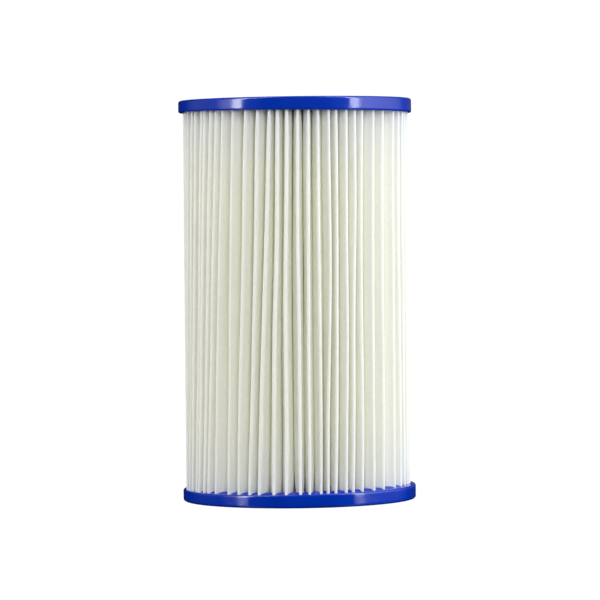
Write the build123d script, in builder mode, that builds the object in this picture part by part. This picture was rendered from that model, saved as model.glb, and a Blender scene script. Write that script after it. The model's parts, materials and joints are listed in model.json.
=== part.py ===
"""Pleated filter cartridge for a pool pump, open at both ends.

A perforated core stands between two soft moulded end caps, with a ring of pleated
media around it. The media is one folded sheet, closed by a bead of glue in one pleat.
The caps are cast around the ends of the core, the sheet and the bead, so each cap has
the imprint of all three.

Frame: millimetres, +Z along the cartridge, origin at the centre of the bottom face.
The glued pleat is on the +Y side, at the back.
"""

from build123d import *

import os
from math import acos, cos, degrees, pi, radians, sin

# Overall size
overall_length = 254.0
cap_diameter = 148.0

# End caps
cap_thickness = 8.4
opening_diameter = 73.0
rim_overhang = 2.3  # how far the cap stands out past the pleat tips
potting_depth = 4.0  # how deep the core and the sheet stand in the cap
rim_corner_radius = 1.6
open_side_corner_radius = 1.1
opening_edge_radius = 0.6
recess_depth = 0.8  # shallow ring in the sealing face
seal_land_width = 9.0  # flat ring around the opening
outer_land_width = 7.5  # flat ring inside the rounded rim

# Core
core_seat_step = 0.5  # the cap's lip stands in past the core by this much
core_wall = 2.4
core_rib_count = 20
core_rib_width = 2.4
core_rib_depth = 1.4
core_hoop_count = 17
core_hoop_height = 2.2
core_collar_height = 10.0
core_layer_overlap = 0.3  # how far the hoops reach into the ribs

# Pleated sheet
pleat_count = 64
sheet_thickness = 0.6
tip_bend_radius = 1.1  # at the middle of the sheet
fold_bend_radius = 0.8  # at the middle of the sheet
core_clearance = 0.3  # between the core's hoops and the inner folds
glue_depth = 12.0  # how far the bead reaches in from the tip of its pleat
glued_pleat_angle = 90.0

# What follows from them
half_length = overall_length / 2
cap_radius = cap_diameter / 2
opening_radius = opening_diameter / 2
floor_thickness = cap_thickness - potting_depth
inner_length = overall_length - 2 * floor_thickness

core_inner_radius = opening_radius + core_seat_step
core_outer_radius = core_inner_radius + core_wall

tip_radius = cap_radius - rim_overhang
tip_bend_centre = tip_radius - sheet_thickness / 2 - tip_bend_radius
fold_radius = core_outer_radius + core_clearance
fold_bend_centre = fold_radius + sheet_thickness / 2 + fold_bend_radius
pleat_pitch = 360.0 / pleat_count


def polar(radius, angle):
    """The point at a radius and an angle in degrees about the cartridge's axis."""
    return Vector(radius * cos(radians(angle)), radius * sin(radians(angle)))


def wall_ends(tip_bend, fold_bend, tip_angle, side):
    """The two ends of one wall of a pleat, at its tip and at its inner fold.

    The wall is the straight line that touches the tip's bend on its outside and the
    fold's bend on the other side of the sheet. side is +1 for the wall that stands
    anticlockwise of the tip, and -1 for the clockwise one.
    """
    tip = polar(tip_bend_centre, tip_angle)
    fold = polar(fold_bend_centre, tip_angle + side * pleat_pitch / 2)
    between = fold - tip
    turn = degrees(acos((tip_bend + fold_bend) / between.length))
    across = between.normalized().rotate(Axis.Z, -side * turn)
    return tip + across * tip_bend, fold - across * fold_bend


def sheet_side(tip_bend, fold_bend):
    """Draws one face of the sheet, once around, and returns its first and last point.

    Both stand at the outer edge of the glued pleat, where the sheet begins and ends.
    """
    first, last = flap_ends(tip_bend, fold_bend)
    wall_start = first
    for number in range(pleat_count):
        tip_angle = glued_pleat_angle + number * pleat_pitch
        next_tip_angle = tip_angle + pleat_pitch
        _, fold_in = wall_ends(tip_bend, fold_bend, tip_angle, +1)
        tip_in, fold_out = wall_ends(tip_bend, fold_bend, next_tip_angle, -1)
        fold_deepest = polar(fold_bend_centre - fold_bend, tip_angle + pleat_pitch / 2)
        Line(wall_start, fold_in)
        ThreePointArc(fold_in, fold_deepest, fold_out)
        if number == pleat_count - 1:
            Line(fold_out, last)
            break
        tip_out, _ = wall_ends(tip_bend, fold_bend, next_tip_angle, +1)
        tip_furthest = polar(tip_bend_centre + tip_bend, next_tip_angle)
        Line(fold_out, tip_in)
        ThreePointArc(tip_in, tip_furthest, tip_out)
        wall_start = tip_out
    return first, last


def flap_ends(tip_bend, fold_bend):
    """Where the two walls of the glued pleat end, level with the other pleats' tips."""
    ends = []
    for side in (+1, -1):
        tip, fold = wall_ends(tip_bend, fold_bend, glued_pleat_angle, side)
        along = (tip - fold).normalized()
        ends.append(tip + along * (tip_bend_radius + sheet_thickness / 2))
    return ends


def clean_side_bends():
    """Bend radii of the sheet's inner face, which the water leaves by."""
    return tip_bend_radius - sheet_thickness / 2, fold_bend_radius + sheet_thickness / 2


def dirty_side_bends():
    """Bend radii of the sheet's outer face, which the water reaches first."""
    return tip_bend_radius + sheet_thickness / 2, fold_bend_radius - sheet_thickness / 2


def make_sheet():
    """The pleated sheet: one strip, folded into a ring that is open at the glued pleat."""
    with BuildPart() as pleated_media:
        with BuildSketch(Plane.XY.offset(floor_thickness)):
            with BuildLine():
                dirty_first, dirty_last = sheet_side(*dirty_side_bends())
                clean_first, clean_last = sheet_side(*clean_side_bends())
                Line(dirty_first, clean_first)
                Line(dirty_last, clean_last)
            make_face()
        extrude(amount=inner_length)
    return pleated_media.part


def make_glue_bead():
    """The bead of hot glue between the two ends of the sheet, in the glued pleat."""
    clean_tip_bend, clean_fold_bend = clean_side_bends()
    outer_ends = flap_ends(clean_tip_bend, clean_fold_bend)
    inner_ends = []
    for outer_end, side in zip(outer_ends, (+1, -1)):
        _, fold = wall_ends(clean_tip_bend, clean_fold_bend, glued_pleat_angle, side)
        inner_ends.append(outer_end + (fold - outer_end).normalized() * glue_depth)
    with BuildPart() as seam_bead:
        with BuildSketch(Plane.XY.offset(floor_thickness)):
            with BuildLine():
                Polyline(*outer_ends, *reversed(inner_ends), close=True)
            make_face()
        extrude(amount=inner_length)
    return seam_bead.part


def make_core():
    """The moulded core: upright ribs inside, hoops outside, and a plain collar at each end."""
    rib_length = inner_length - 2 * core_collar_height
    hoop_gap = (rib_length - core_hoop_count * core_hoop_height) / (core_hoop_count + 1)
    rib_base = floor_thickness + core_collar_height
    hoop_levels = [
        rib_base + hoop_gap + number * (core_hoop_height + hoop_gap)
        for number in range(core_hoop_count)
    ]
    rib_outer_radius = core_inner_radius + core_rib_depth
    hoop_inner_radius = rib_outer_radius - core_layer_overlap
    gap_between_ribs = 2 * pi * core_inner_radius / core_rib_count - core_rib_width
    collar_planes = (
        Plane.XY.offset(floor_thickness),
        Plane.XY.offset(overall_length - floor_thickness - core_collar_height),
    )
    with BuildPart() as centre_core:
        with BuildSketch(*collar_planes):
            Circle(core_outer_radius)
            Circle(core_inner_radius, mode=Mode.SUBTRACT)
        extrude(amount=core_collar_height)
        with BuildSketch(Plane.XY.offset(rib_base)):
            Circle(rib_outer_radius)
            Circle(core_inner_radius, mode=Mode.SUBTRACT)
            with PolarLocations(0, core_rib_count):
                from_the_axis = (Align.MIN, Align.CENTER)
                Rectangle(core_outer_radius, gap_between_ribs, align=from_the_axis, mode=Mode.SUBTRACT)
        extrude(amount=rib_length)
        with BuildSketch(*[Plane.XY.offset(level) for level in hoop_levels]):
            Circle(core_outer_radius)
            Circle(hoop_inner_radius, mode=Mode.SUBTRACT)
        extrude(amount=core_hoop_height)
    return centre_core.part


def make_bottom_cap(cast_in):
    """The cap at the bottom: a soft ring with a sealing face below, cast around its parts."""
    recess_inner_radius = opening_radius + opening_edge_radius + seal_land_width
    recess_outer_radius = cap_radius - rim_corner_radius - outer_land_width
    with BuildPart() as cap:
        with BuildSketch(Plane.XZ) as profile:
            with Locations((opening_radius, 0)):
                Rectangle(cap_radius - opening_radius, cap_thickness, align=Align.MIN)
            corners = profile.vertices().sort_by(Axis.X)
            bore_corners = corners[:2].sort_by(Axis.Z)
            rim_corners = corners[2:].sort_by(Axis.Z)
            fillet(rim_corners[0], rim_corner_radius)
            fillet(rim_corners[1], open_side_corner_radius)
            fillet(bore_corners[0], opening_edge_radius)
            with Locations((opening_radius, floor_thickness)):
                Rectangle(core_seat_step, potting_depth, align=Align.MIN, mode=Mode.SUBTRACT)
            with Locations((recess_inner_radius, 0)):
                recess_width = recess_outer_radius - recess_inner_radius
                Rectangle(recess_width, recess_depth, align=Align.MIN, mode=Mode.SUBTRACT)
        revolve(axis=Axis.Z)
        for piece in cast_in:
            add(piece, mode=Mode.SUBTRACT)
    return cap.part


pleated_media = make_sheet()
seam_bead = make_glue_bead()
centre_core = make_core()
bottom_end_cap = make_bottom_cap((pleated_media, seam_bead, centre_core))
top_end_cap = mirror(bottom_end_cap, about=Plane.XY.offset(half_length))

os.makedirs("parts", exist_ok=True)
pieces = {
    "top_end_cap": top_end_cap,
    "bottom_end_cap": bottom_end_cap,
    "centre_core": centre_core,
    "pleated_media": pleated_media,
    "seam_bead": seam_bead,
}
for name, piece in pieces.items():
    piece.label = name
    export_step(piece, f"parts/{name}.step")
    print(name, round(piece.volume), "mm3")
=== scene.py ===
"""The looks of a pleated pool filter cartridge: two cast blue end caps, folded media, a moulded core and a glue seam.

Everything is in metres in the CAD frame: +Z up, the origin at the centre of the bottom face, the front at -Y.
An angle about the axis is measured from the front, anticlockwise seen from above, so +X is at a quarter turn.
A level is a height as a share of the sheet's, from 0 at its lower edge to 1 at its upper edge. A point of a
cross-section is a complex number, x + iy.
"""

import json
from math import pi, radians

import bpy
import numpy as np
from mathutils import Matrix, Vector


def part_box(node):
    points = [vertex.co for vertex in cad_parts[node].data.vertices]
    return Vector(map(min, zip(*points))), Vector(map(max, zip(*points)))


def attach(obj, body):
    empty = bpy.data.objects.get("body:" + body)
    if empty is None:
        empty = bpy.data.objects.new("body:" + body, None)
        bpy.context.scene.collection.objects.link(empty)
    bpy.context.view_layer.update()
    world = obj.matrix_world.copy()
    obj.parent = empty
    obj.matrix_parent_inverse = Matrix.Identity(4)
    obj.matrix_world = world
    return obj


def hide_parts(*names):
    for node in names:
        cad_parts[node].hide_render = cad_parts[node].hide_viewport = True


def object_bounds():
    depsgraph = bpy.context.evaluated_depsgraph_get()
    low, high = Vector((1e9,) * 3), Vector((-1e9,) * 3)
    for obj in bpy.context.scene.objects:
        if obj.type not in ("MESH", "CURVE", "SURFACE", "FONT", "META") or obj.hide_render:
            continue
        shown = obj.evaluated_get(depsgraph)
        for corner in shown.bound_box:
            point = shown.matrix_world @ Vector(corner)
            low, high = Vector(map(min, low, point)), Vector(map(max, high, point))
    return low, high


MM = 0.001

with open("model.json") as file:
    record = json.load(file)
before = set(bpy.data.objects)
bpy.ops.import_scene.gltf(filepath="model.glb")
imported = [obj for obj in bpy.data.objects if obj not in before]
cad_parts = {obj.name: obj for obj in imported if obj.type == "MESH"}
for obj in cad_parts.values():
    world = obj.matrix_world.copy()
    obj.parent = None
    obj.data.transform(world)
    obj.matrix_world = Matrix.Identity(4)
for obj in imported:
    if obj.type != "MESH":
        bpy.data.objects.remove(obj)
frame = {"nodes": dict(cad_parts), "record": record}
cad_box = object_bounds()

# ---------------------------------------------------------------- sizes that come from the frame

media_low, media_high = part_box("pleated_media")
core_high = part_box("centre_core")[1]
lower_cap_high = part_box("bottom_end_cap")[1]
mounts = {mount["name"]: mount for mount in frame["record"]["mounts"]}

CAP_RADIUS = lower_cap_high.x
CAP_THICKNESS = lower_cap_high.z
OVERALL_LENGTH = cad_box[1].z
OPENING_RADIUS = mounts["bottom_opening"]["dims"]["r_mm"] * MM
CORE_RADIUS = core_high.x
TIP_RADIUS = media_high.x
SHEET_LOW, SHEET_HIGH = media_low.z, media_high.z

# ---------------------------------------------------------------- the sheet's own sizes

PLEATS = 64
PITCH = 2 * pi / PLEATS
SHEET_THICKNESS = 0.6 * MM
CORE_CLEARANCE = 0.3 * MM
TIP_BEND = 1.1 * MM  # radii at the middle of the sheet
FOLD_BEND = 0.8 * MM
TIP_CENTRE = TIP_RADIUS - SHEET_THICKNESS / 2 - TIP_BEND
FOLD_CENTRE = CORE_RADIUS + CORE_CLEARANCE + SHEET_THICKNESS / 2 + FOLD_BEND
TIP_STEPS = 5
FOLD_STEPS = 3

EVEN_LEVELS = np.linspace(0, 1, 48)
LEVELS = EVEN_LEVELS / 2 + (1 - np.cos(pi * EVEN_LEVELS)) / 4  # closer together near the caps

# How far each tip in front stands off its even place, in shares of a pitch, from left to right: the
# pleats were bunched by hand as they were cast in. The first of them is FIRST_FRONT_TIP, counted from the seam.
FIRST_FRONT_TIP = 21
LEAN_AT_TOP = (
    0.0, 0.1, -0.4, -0.5, -0.8, -1.0, -0.85, -0.55, -0.4, -0.3, -0.6, -0.75,
    -0.8, -0.85, -1.0, -1.0, -1.3, -1.3, -1.45, -1.65, -1.3, -1.05, -0.4, -0.3,
)
LEAN_AT_BOTTOM = (
    -1.5, -1.5, -2.0, -2.1, -2.4, -2.3, -1.7, -1.6, -1.5, -1.6, -1.2, -1.1,
    -0.8, -1.0, -0.95, -1.3, -1.6, -1.6, -1.9, -1.95, -1.6, -1.35, -0.6, -0.3,
)
LEAN_BEHIND = 0.22  # the most that a tip leans where no lean is listed
OWN_WAVER = 0.035  # how much each tip wavers by itself along its length, in shares of a pitch
SHARED_WAVER = 0.12  # how much it wavers along with its neighbours
NEIGHBOURS_SHARE = 0.9
FOLD_FOLLOWS = 0.35  # how far an inner fold follows its two tips

# How the tips stand and bend
TIP_INSET = 0.25 * MM
TIP_WAVES = 0.16 * MM  # how far a tip stands in and out along its length
RING_SHIFT = (-0.8 * MM, 0.4 * MM)  # how far right of the axis the ring of tips is, in the bottom cap and the top one
SLACK_WAVES = 0.06  # how much the bends widen and narrow
SLACK_LIMITS = (0.8, 1.22)
SHARPEST_TIPS = 0.1  # the angle where the tips are bent tightest, a little to the right of the front
SHARP_REACH = 0.3
SHARPER_TIPS = 0.3  # how much tighter they are there
PINCH_AT_CAPS = 0.42  # how much narrower they are at the caps
PINCH_REACH = 8 * MM

# A wall's points, from its tip in: how far along the wall each stands, and how much of the gap that straight
# walls would leave there is closed by their swelling.
WALL_PLACES = np.array([0, 0.07, 0.115, 0.165, 1])
GAP_CLOSED = np.array([0, 0.06, 0.48, 0.92, 0])
SWELL_WAVES = 0.12
SWELL_LIMITS = (-0.2, 0.08)  # so that two walls never meet
SWELL_LOST_AT_CAPS = 0.35

# ================================================================ small tools


def seeded(seed):
    return np.random.default_rng(seed)


def smoothstep(value):
    """0 below 0, 1 above 1, and 3v^2 - 2v^3 in between."""
    value = np.clip(value, 0, 1)
    return value * value * (3 - 2 * value)


def waves(level, count, size, seed, highest):
    """One smooth wavering line for each of count things, as an array of count by levels.

    Each line is a sum of sines of the level, from one to highest half-waves, with seeded phases and sizes that
    fall off as one over the number of half-waves.
    """
    draw = seeded(seed)
    orders = np.arange(1, highest + 1)
    sizes = draw.normal(size=(count, len(orders))) / orders
    phases = draw.uniform(0, 2 * pi, (count, len(orders)))
    sines = np.sin(pi * orders[None, :, None] * level[None, None, :] + phases[:, :, None])
    return size * (sizes[:, :, None] * sines).sum(1)


def neighbourly(lines, share):
    """Blends each line with the ones beside it, around the ring. share is how much of it comes from them."""
    return (1 - share) * lines + share / 2 * (np.roll(lines, 1, 0) + np.roll(lines, -1, 0))


def grid_faces(rows, columns, closed_rows=False, closed_columns=False):
    """The quads of a grid of points that are numbered row by row."""
    row = np.arange(rows if closed_rows else rows - 1)
    column = np.arange(columns if closed_columns else columns - 1)
    r, c = (part.ravel() for part in np.meshgrid(row, column, indexing="ij"))
    r_next, c_next = (r + 1) % rows, (c + 1) % columns
    return np.stack([r * columns + c, r * columns + c_next, r_next * columns + c_next, r_next * columns + c], 1)


def height_at(level):
    return SHEET_LOW + (SHEET_HIGH - SHEET_LOW) * level


def in_space(flat, height):
    """Points in space, from complex points and the heights that they stand at."""
    return np.stack([flat.real, flat.imag, np.broadcast_to(height, flat.shape)], -1)


def make_piece(name, points, faces):
    """A new object with smooth shading, from an array of points and a list of faces."""
    mesh = bpy.data.meshes.new(name)
    mesh.from_pydata(points.reshape(-1, 3).tolist(), [], faces)
    mesh.polygons.foreach_set("use_smooth", np.full(len(faces), True))
    mesh.update()
    piece = bpy.data.objects.new(name, mesh)
    bpy.context.scene.collection.objects.link(piece)
    return piece


def facing_out(points, faces):
    """An array of quads, turned over if the closed shape that they make is inside out.

    Its volume is a sixth of the sum over its triangles of a . (b x c), which is negative if they face inwards.
    """
    a, b, c, d = (points.reshape(-1, 3)[faces[:, k]] for k in range(4))
    volume = (a * np.cross(b, c)).sum() + (a * np.cross(c, d)).sum()
    return faces[:, ::-1] if volume < 0 else faces


def add_attribute(piece, name, kind, values):
    """A value or vector for each point of a piece, which its material reads by name."""
    attribute = piece.data.attributes.new(name, kind, "POINT")
    field = "vector" if kind == "FLOAT_VECTOR" else "value"
    attribute.data.foreach_set(field, np.ascontiguousarray(values, np.float32).ravel())


# ================================================================ the folded sheet


def tip_angles(level):
    """The angle of every tip from the seam around to the seam again, as an array of tips by levels.

    A tip stands at its even place plus its lean. The lean runs straight from LEAN_AT_BOTTOM to LEAN_AT_TOP, with
    a little wavering that dies away at both caps. Behind, where no lean is listed, it fades to none at the seam,
    with a seeded unevenness.
    """
    number = np.arange(PLEATS + 1)
    last_front_tip = FIRST_FRONT_TIP + len(LEAN_AT_TOP) - 1
    unevenness = seeded(5).uniform(-LEAN_BEHIND, LEAN_BEHIND, (2, PLEATS + 1))
    unevenness[:, [0, -1]] = 0
    unevenness[:, FIRST_FRONT_TIP : last_front_tip + 1] = 0
    ends = []
    for listed, uneven in zip((LEAN_AT_BOTTOM, LEAN_AT_TOP), unevenness):
        known = (0, *range(FIRST_FRONT_TIP, last_front_tip + 1), PLEATS)
        ends.append(np.interp(number, known, (0.0, *listed, 0.0)) + uneven)
    bottom, top = ends
    own = waves(level, PLEATS + 1, OWN_WAVER, seed=11, highest=5)
    shared = neighbourly(waves(level, PLEATS + 1, SHARED_WAVER, seed=12, highest=3), NEIGHBOURS_SHARE)
    held = np.sin(pi * level) ** 0.7
    wavering = (own + shared) * held
    wavering[[0, -1]] = 0
    lean = bottom[:, None] + (top - bottom)[:, None] * level + wavering
    return -pi + PITCH * (number[:, None] + lean)


def outward(angle):
    """The unit vector away from the axis at an angle from the front, as a complex number."""
    return np.exp(1j * (angle - pi / 2))


def fold_angles(tips):
    """The angle of each inner fold, as an array of folds by levels.

    The folds stay more even than the tips. All of them drift with the ring of tips, and beyond that each goes only
    FOLD_FOLLOWS of the way from its even place to the middle of its two tips.
    """
    even = -pi + PITCH * (np.arange(PLEATS) + 0.5)
    middles = (tips[1:] + tips[:-1]) / 2
    drift = (middles - even[:, None]).mean(0)
    return even[:, None] + drift + FOLD_FOLLOWS * (middles - even[:, None] - drift)


def fold_lines(level):
    """Where the bends are at each level, as a dictionary of arrays of bends by levels.

    tip and fold are the bends' centres, and tip_out and fold_out their directions from the axis. tip_bend is a tip's
    radius at the middle of the sheet. Tips stand in or out a little, and each is pinched or slack along its length.
    """
    tips = tip_angles(level)
    folds = fold_angles(tips)
    reach = neighbourly(waves(level, PLEATS + 1, TIP_WAVES, seed=21, highest=4), 0.4) - TIP_INSET
    slack = np.clip(1 + waves(level, PLEATS + 1, SLACK_WAVES, seed=22, highest=5), *SLACK_LIMITS)
    slack -= SHARPER_TIPS * np.exp(-(((tips - SHARPEST_TIPS) / SHARP_REACH) ** 2))
    for line in (reach, slack):
        line[-1] = line[0]  # the seam pleat is both the first and the last
    shift = RING_SHIFT[0] + (RING_SHIFT[1] - RING_SHIFT[0]) * level
    tip_bend = TIP_BEND * slack * (1 - PINCH_AT_CAPS * near_cap(level))
    return {
        "tip": (TIP_CENTRE + TIP_BEND - tip_bend + reach) * outward(tips) + shift,
        "tip_bend": tip_bend,
        "tip_out": outward(tips),
        "fold": FOLD_CENTRE * outward(folds),
        "fold_out": outward(folds),
    }


def wall(tip, fold, tip_bend, side):
    """The two ends of a wall of a pleat, and the unit vector across it.

    The wall is the straight line that touches the tip's bend on its outside and the fold's bend on the other side
    of the sheet. side is +1 for the wall anticlockwise of the tip and -1 for the clockwise one. Across it is the
    line between the bends' centres turned by the angle whose cosine is the sum of the two radii over its length.
    """
    between = fold - tip
    length = np.abs(between)
    turn = np.arccos((tip_bend + FOLD_BEND) / length)
    across = between / length * np.exp(-1j * side * turn)
    return tip + across * tip_bend, fold - across * FOLD_BEND, across


def near_cap(level):
    """1 at the face of either cap, and falling off away from it."""
    height = height_at(level)
    free = np.minimum(height, OVERALL_LENGTH - height) - CAP_THICKNESS
    return np.exp(-np.maximum(free, 0) / PINCH_REACH)


def swelling(lines, level):
    """How far the two walls beside each valley swell into it, as an array of 2 by places by valleys by levels."""
    place = WALL_PLACES[:, None, None]
    gap_at_tips = np.abs(np.diff(lines["tip"], axis=0)) - lines["tip_bend"][1:] - lines["tip_bend"][:-1]
    gap = np.maximum(gap_at_tips * (1 - place) + 2 * FOLD_BEND * place - SHEET_THICKNESS, 0)
    uneven = 1 + np.clip(waves(level, 2 * PLEATS, SWELL_WAVES, seed=31, highest=4), *SWELL_LIMITS)
    held = 1 - SWELL_LOST_AT_CAPS * near_cap(level)
    return GAP_CLOSED[:, None, None] * held * uneven.reshape(2, 1, PLEATS, -1) * gap / 2


def bend(centre, radius, first, last, facing, steps):
    """Points along a bend from direction first to direction last, by way of facing. Both ends are left out."""
    start, end = np.angle(first / facing), np.angle(last / facing)
    share = np.arange(1, steps)[:, None, None] / steps
    return centre + radius * facing * np.exp(1j * (start + (end - start) * share))


def cross_sections(level):
    """The middle of the sheet at each level, and how deep in its pleat each of its points is.

    Returns complex points, points by levels, from the seam around to the seam, and depths from 0 on a tip to 1 on
    an inner fold. Every pleat is a wall going in, a fold, a wall coming out and a tip.
    """
    lines = fold_lines(level)
    tip, bend_radius, fold = lines["tip"], lines["tip_bend"], lines["fold"]
    down_top, down_end, down_across = wall(tip[:-1], fold, bend_radius[:-1], +1)
    up_top, up_end, up_across = wall(tip[1:], fold, bend_radius[1:], -1)
    swell = swelling(lines, level)
    share = WALL_PLACES[:, None, None]
    going_in = down_top + (down_end - down_top) * share + down_across * swell[0]
    coming_out = (up_top + (up_end - up_top) * share + up_across * swell[1])[::-1]
    fold_bend = bend(fold, FOLD_BEND, -down_across, -up_across, -lines["fold_out"], FOLD_STEPS)
    next_down = np.roll(down_across, -1, 0)
    tip_bends = bend(tip[1:], bend_radius[1:], up_across, next_down, lines["tip_out"][1:], TIP_STEPS)
    pleat = np.concatenate([going_in, fold_bend, coming_out, tip_bends])
    depth = np.concatenate([WALL_PLACES, np.ones(FOLD_STEPS - 1), WALL_PLACES[::-1], np.zeros(TIP_STEPS - 1)])
    kept = len(pleat) * PLEATS - (TIP_STEPS - 1)  # the seam pleat has two flaps instead of a tip
    points = np.moveaxis(pleat, 0, 1).reshape(-1, len(level))[:kept]
    flaps = [end + (end - before) / np.abs(end - before) * (TIP_BEND + SHEET_THICKNESS / 2)
             for end, before in ((points[0], points[1]), (points[-1], points[-2]))]
    points = np.concatenate([flaps[:1], points, flaps[1:]])
    depth = np.concatenate([[0], np.tile(depth, PLEATS)[:kept], [0]])
    return points, depth


def make_media():
    """The pleated sheet: one strip, folded into a ring that is open at the seam behind.

    Its points carry their place on the flat strip, as unrolled, and their depth in the pleat, as pleat_depth.
    """
    points, depth = cross_sections(LEVELS)
    places = in_space(points, height_at(LEVELS))
    piece = make_piece("media_sheet", places, grid_faces(*points.shape).tolist())
    middle = points[:, len(LEVELS) // 2]
    unrolled = np.zeros(places.shape)
    unrolled[1:, :, 0] = np.cumsum(np.abs(np.diff(middle)))[:, None]
    unrolled[..., 1] = height_at(LEVELS)
    add_attribute(piece, "unrolled", "FLOAT_VECTOR", unrolled)
    add_attribute(piece, "pleat_depth", "FLOAT", np.broadcast_to(depth[:, None], points.shape))
    solid = piece.modifiers.new("sheet_thickness", "SOLIDIFY")
    solid.thickness = SHEET_THICKNESS
    solid.offset = 0
    return piece


GLUE_DEPTH = 12.0 * MM
GLUE_START = 0.02  # where the bead's flat sides begin, as a share of its depth
GLUE_BULGE = 0.45  # how far it swells out, in shares of its width
GLUE_SIDE_POINTS = 6
GLUE_BULGE_STEPS = 8


def make_seam_bead():
    """The bead of hot glue in the seam pleat, from its outer edge to GLUE_DEPTH in.

    Its outline at each level is two parallel sides with a bulge outside. They run in from the last flap's inner face
    and from the first flap's outer face, so the glue laps over the edge of the first flap.
    """
    points, _ = cross_sections(LEVELS)
    first, last = points[0], points[-1]
    widest = points[-2 - int(GAP_CLOSED.argmax())]  # where the last flap's wall swells most
    run = (widest - last) / np.abs(widest - last)
    sideways = np.where((np.conj(run) * (first - last)).imag > 0, 1j, -1j) * run
    shares = np.linspace(GLUE_START, 1, GLUE_SIDE_POINTS)[:, None]
    left, right = (flap + sideways * SHEET_THICKNESS / 2 + run * GLUE_DEPTH * shares for flap in (first, last))
    middle, span = (left[0] + right[0]) / 2, left[0] - right[0]
    turns = np.linspace(pi, 0, GLUE_BULGE_STEPS + 1)[1:-1, None]
    bulge = middle + span / 2 * np.cos(turns) + outward(pi) * np.abs(span) * GLUE_BULGE * np.sin(turns)
    outline = np.concatenate([right[::-1], bulge, left])
    places = np.moveaxis(in_space(outline, height_at(LEVELS)), 0, 1)
    rows, columns = places.shape[:2]
    lower_end = list(range(columns))[::-1]
    upper_end = list(range((rows - 1) * columns, rows * columns))
    faces = grid_faces(rows, columns, closed_columns=True).tolist() + [lower_end, upper_end]
    return make_piece("glue_seam", places, faces)


# ================================================================ the end caps

RIM_CORNER = 1.6 * MM
OPEN_CORNER = 1.1 * MM
OPENING_EDGE = 0.6 * MM
RECESS_DEPTH = 0.8 * MM
SEAL_LAND = 9.0 * MM
OUTER_LAND = 7.5 * MM
RECESS_EDGE = 0.35 * MM
CORE_SEAT = 0.5 * MM
FLAT_EDGE = 0.4 * MM  # beside each rounded corner, so that the rim between them is shaded flat
OPEN_SIDE_OVERLAP = 1.2 * MM  # how far the open side reaches in under the core's wall
COLUMNS_PER_PLEAT = 10
CREEP = {"bottom_cap": 1.5 * MM, "top_cap": 0.3 * MM}  # how far the casting climbs in the middle of a valley
CREEP_BESIDE_TIPS = 0.25  # the share of it beside a tip
CREEP_SETBACK = (0.1 * MM, 1.0 * MM)  # how far in from the tips it starts, beside a tip and in mid-valley
CREEP_RUN = 2.0 * MM
LIP_SLOPE = 0.8 * MM  # the rim is this much taller on the right, and shorter on the left


def corner(centre, radius, start, end, steps):
    """Points on an arc in the profile's plane, between two angles in degrees."""
    angle = np.radians(np.linspace(start, end, steps + 1))
    return np.stack([centre[0] + radius * np.cos(angle), centre[1] + radius * np.sin(angle)], 1)


def cap_profile():
    """The outline of a cap's ring, sealing face down, as (radius, height) points, and how far up its rim each is.

    It goes out along the sealing face, up the rim, in over the open side, and down the opening. The share is 1 on
    the open side, where the casting creeps up the pleats, 0 on the sealing face and in the opening, and between
    them on the rim.
    """
    floor = SHEET_LOW
    opening, rim, top = OPENING_RADIUS, CAP_RADIUS, CAP_THICKNESS
    recess_in = opening + OPENING_EDGE + SEAL_LAND
    recess_out = rim - RIM_CORNER - OUTER_LAND
    e = RECESS_EDGE
    parts = [
        corner((opening + OPENING_EDGE, OPENING_EDGE), OPENING_EDGE, 180, 270, 4),
        corner((recess_in - e, e), e, 270, 360, 3),
        corner((recess_in + e, RECESS_DEPTH - e), e, 180, 90, 3),
        corner((recess_out - e, RECESS_DEPTH - e), e, 90, 0, 3),
        corner((recess_out + e, e), e, 180, 270, 3),
        corner((rim - RIM_CORNER, RIM_CORNER), RIM_CORNER, 270, 360, 7),
        [(rim, RIM_CORNER + FLAT_EDGE), (rim, top / 2), (rim, top - OPEN_CORNER - FLAT_EDGE)],
        corner((rim - OPEN_CORNER, top - OPEN_CORNER), OPEN_CORNER, 0, 90, 5),
    ]
    inner = CORE_RADIUS - OPEN_SIDE_OVERLAP
    around_tips = np.linspace(TIP_RADIUS + 0.7 * MM, TIP_RADIUS - 5 * MM, 15)
    further_in = np.linspace(TIP_RADIUS - 9 * MM, inner, 5)
    parts.append([(radius, top) for radius in (*around_tips, *further_in)])
    parts.append([(inner, floor), (opening + CORE_SEAT, floor), (opening, floor), (opening, floor / 2)])
    outline = np.concatenate([np.asarray(part, float) for part in parts])
    share = np.clip((outline[:, 1] - RIM_CORNER) / (top - RIM_CORNER), 0, 1)
    share[-len(parts[-1]):] = 0
    return outline, share


def make_cap(name, level, upside_down):
    """A cap, turned about the axis, with the casting drawn up between the pleats that stand in it.

    Over the open side the height is the profile's, plus LIP_SLOPE times the sine of the angle, plus CREEP times a
    smooth step inwards from the tips. The step starts further in at the middle of a valley than beside a tip.
    """
    tips = tip_angles(np.array([level]))[:, 0]
    share_of_pitch = np.arange(COLUMNS_PER_PLEAT) / COLUMNS_PER_PLEAT
    angle = (tips[:-1, None] + np.diff(tips)[:, None] * share_of_pitch).ravel()
    valley = np.tile(np.sin(pi * share_of_pitch), PLEATS)
    outline, share = cap_profile()
    radius, height = (np.broadcast_to(outline[:, k], (len(angle), len(outline))) for k in (0, 1))
    starts = TIP_RADIUS - np.interp(valley, (0, 1), CREEP_SETBACK)[:, None]
    climb = CREEP[name] * np.interp(valley, (0, 1), (CREEP_BESIDE_TIPS, 1))[:, None]
    creep = climb * smoothstep((starts - radius) / CREEP_RUN) * (share >= 1)
    height = height + share * (LIP_SLOPE * np.sin(angle)[:, None] + creep)
    if upside_down:
        height = OVERALL_LENGTH - height
    flat = radius * outward(angle)[:, None]
    places = in_space(flat, height)
    faces = grid_faces(*flat.shape, closed_rows=True, closed_columns=True)
    return make_piece(name, places, facing_out(places, faces).tolist())


# ================================================================ shader maths


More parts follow.
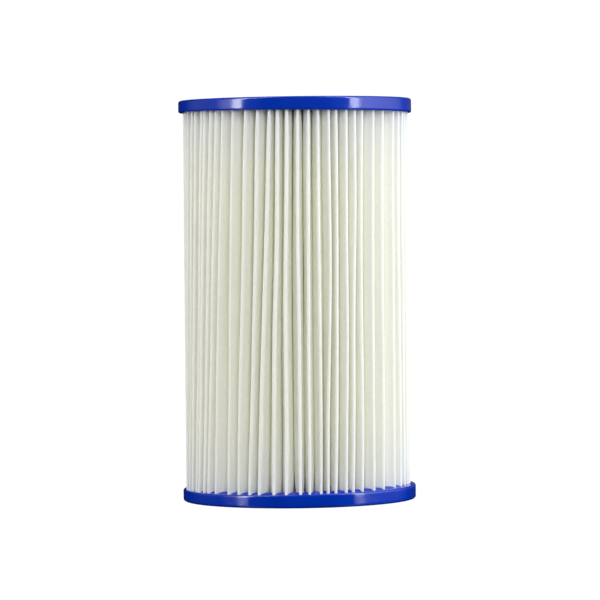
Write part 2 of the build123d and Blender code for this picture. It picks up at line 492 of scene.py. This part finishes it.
class Value:
    """A socket that carries a number, so that shader maths reads as ordinary maths."""

    def __init__(self, paint, socket):
        self.paint, self.socket = paint, socket

    def __add__(self, other):
        return self.paint.maths("ADD", self, other)

    def __rsub__(self, other):
        return self.paint.maths("SUBTRACT", other, self)

    def __mul__(self, other):
        return self.paint.maths("MULTIPLY", self, other)

    def __truediv__(self, other):
        return self.paint.maths("DIVIDE", self, other)

    __radd__ = __add__
    __rmul__ = __mul__


class Paint:
    """A new material or world, and the one method that adds any node to it."""

    def __init__(self, name, kind="materials"):
        self.owner = getattr(bpy.data, kind).new(name)
        self.owner.use_nodes = True
        self.tree = self.owner.node_tree
        self.tree.nodes.clear()

    def add(self, kind, settings=None, output=0, **sockets):
        """Adds a node. settings are its own properties, sockets the values or links of its inputs.

        A socket is named with underscores for spaces, or as in_0, in_1 and so on by its place.
        """
        node = self.tree.nodes.new("ShaderNode" + kind)
        for key, value in (settings or {}).items():
            if key == "stops":
                self.set_stops(node.color_ramp, value)
            else:
                setattr(node, key, value)
        for key, value in sockets.items():
            place = int(key[3:]) if key.startswith("in_") else key.replace("_", " ")
            socket = node.inputs[place]
            if isinstance(value, Value):
                self.tree.links.new(value.socket, socket)
            else:
                socket.default_value = value
        return Value(self, node.outputs[output]) if node.outputs else None

    @staticmethod
    def set_stops(ramp, stops):
        """Sets a colour ramp from pairs of a position and a shade, which is a brightness or a colour."""
        while len(ramp.elements) < len(stops):
            ramp.elements.new(0.5)
        for element, (position, shade) in zip(ramp.elements, stops):
            element.position = position
            element.color = (shade, shade, shade, 1) if isinstance(shade, (int, float)) else (*shade, 1)

    def maths(self, operation, *values):
        return self.add("Math", {"operation": operation}, **{f"in_{k}": v for k, v in enumerate(values)})

    def place(self, scale=(1, 1, 1), turn=(0, 0, 0), source=None):
        """The piece's own coordinates in metres, scaled and turned."""
        source = source or self.add("TexCoord", output="Object")
        return self.add("Mapping", Vector=source, Scale=scale, Rotation=turn)

    def noise(self, place, scale, detail=2.0, roughness=0.5):
        return self.add("TexNoise", Vector=place, Scale=scale, Detail=detail, Roughness=roughness)

    def ramp(self, value, *stops):
        return self.add("ValToRGB", {"stops": stops}, Fac=value)

    def level(self, value, low, high):
        """0 where value is under low, 1 where it is over high."""
        return self.add("MapRange", {"interpolation_type": "SMOOTHSTEP"}, Value=value, From_Min=low, From_Max=high)

    def mix(self, share, first, second, blend="MIX"):
        """Two colours, where share is how much of the second there is."""
        settings = {"data_type": "RGBA", "blend_type": blend}
        values = {"in_0": share}
        for key, colour in (("in_6", first), ("in_7", second)):
            values[key] = colour if isinstance(colour, Value) else (*colour, 1)
        return self.add("Mix", settings, output=2, **values)

    def finish(self, shader, output="OutputMaterial"):
        self.add(output, Surface=shader)
        return self.owner


# ================================================================ finishes

SHADE_NEAR_CAPS = 60 * MM  # how far from each end the sheet's colour is painted darker and greyer, as painted shade beside the caps
LIGHT_THROUGH_SHEET = 0.22
WHITE_SCATTER = (0.96, 0.96, 0.885, 1)


def media_finish():
    """Spun-bonded polyester: off-white, matt, cloudy and fibrous, with crushed fibres along the folds."""
    paint = Paint("spun_polyester")
    unrolled = paint.add("Attribute", {"attribute_name": "unrolled"}, output="Vector")
    depth = paint.add("Attribute", {"attribute_name": "pleat_depth"}, output="Fac")
    clouds = paint.noise(paint.place(source=unrolled), 380, detail=3)
    fibres = paint.noise(paint.place(scale=(1, 0.22, 1), turn=(0, 0, 0.5), source=unrolled), 2600, detail=2)
    crossed = paint.noise(paint.place(scale=(1, 0.22, 1), turn=(0, 0, -0.6), source=unrolled), 2600, detail=2)
    web = fibres * 0.5 + crossed * 0.5
    height = paint.add("SeparateXYZ", output="Y", Vector=unrolled)
    top = OVERALL_LENGTH
    # Painted shade: near either end the sheet's colour fades to a darker grey, (0.88, 0.89, 0.89). It stands in for
    # the shade and the bounced blue light beside the caps.
    middle = paint.level(height, 0.0, SHADE_NEAR_CAPS) * (1 - paint.level(height, top - SHADE_NEAR_CAPS, top))
    warm = paint.ramp(web * 0.6 + clouds * 0.4, (0.35, (0.905, 0.905, 0.825)), (0.65, (0.97, 0.97, 0.92)))
    pale = paint.mix(middle, (0.88, 0.89, 0.89), warm)
    # Painted shade: deeper in each pleat the colour is multiplied down to a darker yellowish tone. It stands in for
    # the shade and for the light bounced to and fro between the walls of a valley.
    pale = paint.mix(paint.level(depth, 0.02, 0.15), pale, (0.965, 0.965, 0.905), blend="MULTIPLY")
    crease = paint.noise(paint.place(scale=(1, 0.5, 1), source=unrolled), 420, detail=3, roughness=0.65)
    near_tip = 1 - paint.level(depth, 0.0, 0.34)
    relief = web * 0.5 + crease * near_tip * 0.4 + clouds * 0.4
    bump = paint.add("Bump", Strength=0.45, Distance=0.6 * MM, Height=relief)
    cloth = paint.add("BsdfPrincipled", Base_Color=pale, Roughness=0.85, Normal=bump, Specular_IOR_Level=0.25,
                      Sheen_Weight=0.15)
    through = paint.add("BsdfTranslucent", Color=WHITE_SCATTER, Normal=bump)
    return paint.finish(paint.add("MixShader", in_0=LIGHT_THROUGH_SHEET, in_1=cloth, in_2=through))


def cap_finish():
    """Cast soft vinyl: royal blue, glossy, with the faint unevenness of an open casting."""
    paint = Paint("cast_blue_vinyl")
    place = paint.place()
    swirl = paint.noise(place, 45, detail=3)
    grain = paint.noise(place, 900, detail=2)
    blue = paint.ramp(swirl * 0.8 + grain * 0.2, (0.3, (0.0003, 0.023, 0.32)), (0.7, (0.0006, 0.029, 0.38)))
    rough = 0.05 + swirl * 0.05 + grain * 0.03
    bump = paint.add("Bump", Strength=0.25, Distance=0.8 * MM, Height=swirl + grain * 0.12)
    return paint.finish(paint.add("BsdfPrincipled", Base_Color=blue, Roughness=rough, Normal=bump,
                                  Specular_IOR_Level=0.5))


def core_finish():
    """Moulded polypropylene, natural white and slightly waxy."""
    paint = Paint("moulded_polypropylene")
    place = paint.place()
    cloud = paint.noise(place, 60, detail=2)
    grain = paint.noise(place, 1500, detail=2)
    white = paint.ramp(cloud, (0.3, (0.72, 0.73, 0.71)), (0.7, (0.80, 0.81, 0.79)))
    bump = paint.add("Bump", Strength=0.12, Distance=0.3 * MM, Height=grain)
    return paint.finish(paint.add("BsdfPrincipled", Base_Color=white, Roughness=0.42 + grain * 0.1, Normal=bump,
                                  Subsurface_Weight=0.1, Subsurface_Scale=2 * MM))


def glue_finish():
    """Set hot-melt glue: translucent amber-white, smooth and slightly wavy."""
    paint = Paint("hot_melt_glue")
    ripple = paint.noise(paint.place(scale=(1, 1, 0.4)), 220, detail=2)
    cloud = paint.noise(paint.place(), 90, detail=2)
    amber = paint.ramp(cloud, (0.3, (0.74, 0.68, 0.50)), (0.7, (0.82, 0.77, 0.60)))
    bump = paint.add("Bump", Strength=0.3, Distance=0.6 * MM, Height=ripple)
    return paint.finish(paint.add("BsdfPrincipled", Base_Color=amber, Roughness=0.3 + cloud * 0.1, Normal=bump,
                                  Subsurface_Weight=0.3, Subsurface_Scale=3 * MM))


def dress(piece, material):
    piece.data.materials.clear()
    piece.data.materials.append(material)


# ================================================================ the cartridge

media = make_media()
dress(media, media_finish())
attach(media, "root")
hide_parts("pleated_media")

seam = make_seam_bead()
dress(seam, glue_finish())
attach(seam, "root")
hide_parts("seam_bead")

blue_vinyl = cap_finish()
for cap_name, cap_node, cap_level, upside_down in (
    ("bottom_cap", "bottom_end_cap", 0.0, False),
    ("top_cap", "top_end_cap", 1.0, True),
):
    cap = make_cap(cap_name, cap_level, upside_down)
    dress(cap, blue_vinyl)
    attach(cap, "root")
    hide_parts(cap_node)

core = frame["nodes"]["centre_core"]
dress(core, core_finish())
weld = core.modifiers.new("join_faces", "WELD")
weld.merge_threshold = 0.001 * MM
rounding = core.modifiers.new("rounded_edges", "BEVEL")
rounding.width = 0.25 * MM
rounding.segments = 2
rounding.angle_limit = radians(40)
rounding.use_clamp_overlap = True

# ================================================================ stage, light and camera

BACKDROP = 1.05  # a little over white, so that it stays white
FILL = 0.54
FILL_FROM_BELOW = 0.07
REFLECTED_FROM_BELOW = 0.08  # as a share of what is mirrored from above
# What the caps mirror: how bright the studio is at each angle from the front, positive to the right, in degrees
REFLECTED = (
    (-135, 0.01), (-114, 0.35), (-84, 0.35), (-74, 2.0), (-65, 2.6), (-62.5, 13.0), (-53.5, 14.0), (-52, 0.3),
    (-30, 0.01), (30, 0.01), (56, 0.3), (57.5, 11.5), (65, 11.0), (68, 3.0), (90, 1.9), (112, 1.1), (135, 0.1),
)
BRIGHTEST = 14.0
CAMERA_DISTANCE = 2.22
CAMERA_HEIGHT = 0.183
CAMERA_TO_RIGHT = 1.8 * MM
AIM_BELOW_MIDDLE = 0.3 * MM
LENS = 209.4
SENSOR_WIDTH = 36.0
ROLL = radians(0.75)


def make_world():
    """White for the camera, a soft fill for the cartridge, and a dark studio for its reflections.

    The studio has a tall strip box on each side, and the right one stands before a broad pale wall.
    """
    paint = Paint("studio", "worlds")
    camera = paint.add("LightPath", output="Is Camera Ray")
    glossy = paint.add("LightPath", output="Is Glossy Ray")
    direction = paint.add("TexCoord", output="Generated")
    x, y, z = (paint.add("SeparateXYZ", output=axis, Vector=direction) for axis in "XYZ")
    azimuth = paint.maths("ARCTAN2", x, 0 - y) / (2 * pi) + 0.5
    stops = [(0.5 + turn / 360, glow / BRIGHTEST) for turn, glow in REFLECTED]
    from_above = paint.level(z, -0.10, 0.0)
    mirrored = paint.ramp(azimuth, *stops) * (REFLECTED_FROM_BELOW + from_above * (1 - REFLECTED_FROM_BELOW))
    fill = FILL_FROM_BELOW + paint.level(z, -0.05, 0.05) * (FILL - FILL_FROM_BELOW)
    strength = camera * BACKDROP + (1 - camera) * ((1 - glossy) * fill + glossy * mirrored * BRIGHTEST)
    background = paint.add("Background", Color=(1, 1, 1, 1), Strength=strength)
    bpy.context.scene.world = paint.finish(background, "OutputWorld")


def add_softbox(name, azimuth, width, height, centre, glow, distance=1.1, tint=(1, 1, 1)):
    """An area light that faces the middle of the cartridge.

    azimuth and width are in degrees, from the front and positive to the right. height, centre, which is how high
    its middle stands, and distance are in metres. glow sets its power, which is pi times its area times its glow.
    """
    data = bpy.data.lights.new(name, "AREA")
    data.shape = "RECTANGLE"
    data.size, data.size_y = 2 * distance * np.tan(radians(width / 2)), height
    data.energy = pi * data.size * data.size_y * glow
    data.color = tint
    light = bpy.data.objects.new(name, data)
    turn = radians(azimuth)
    light.location = (distance * np.sin(turn), -distance * np.cos(turn), centre)
    aim = Vector((0, 0, OVERALL_LENGTH / 2)) - light.location
    light.rotation_euler = aim.to_track_quat("-Z", "Y").to_euler()
    light.visible_glossy = False  # the world holds what the caps mirror
    bpy.context.scene.collection.objects.link(light)


def make_camera():
    """A long lens a little above the cartridge's middle, with the slight lean of a hand-held view."""
    data = bpy.data.cameras.new("camera")
    data.lens = LENS
    data.sensor_width = SENSOR_WIDTH
    camera = bpy.data.objects.new("camera", data)
    bpy.context.scene.collection.objects.link(camera)
    camera.location = (CAMERA_TO_RIGHT, -CAMERA_DISTANCE, CAMERA_HEIGHT)
    aim = Vector((CAMERA_TO_RIGHT, 0, OVERALL_LENGTH / 2 - AIM_BELOW_MIDDLE)) - camera.location
    camera.rotation_mode = "QUATERNION"
    camera.rotation_quaternion = aim.to_track_quat("-Z", "Y") @ Matrix.Rotation(-ROLL, 4, "Z").to_quaternion()
    bpy.context.scene.camera = camera


make_world()
add_softbox("left_panel", -76, 30, 0.70, 0.38, 5.2)
add_softbox("right_panel", 80, 60, 0.90, 0.44, 4.35, tint=(0.88, 0.92, 1))
add_softbox("front_panel", 7, 44, 1.00, 0.52, 2.45)
add_softbox("back_panel", 180, 50, 1.00, 0.40, 1.8)
add_softbox("top_fill", 0, 50, 1.0, 1.7, 1.0, distance=0.5)
make_camera()
bpy.context.scene.view_settings.view_transform = "Standard"
bpy.context.scene.cycles.max_bounces = 20  # light goes to and fro many times between white pleats
bpy.context.scene.cycles.diffuse_bounces = 16
bpy.context.scene.cycles.transmission_bounces = 16
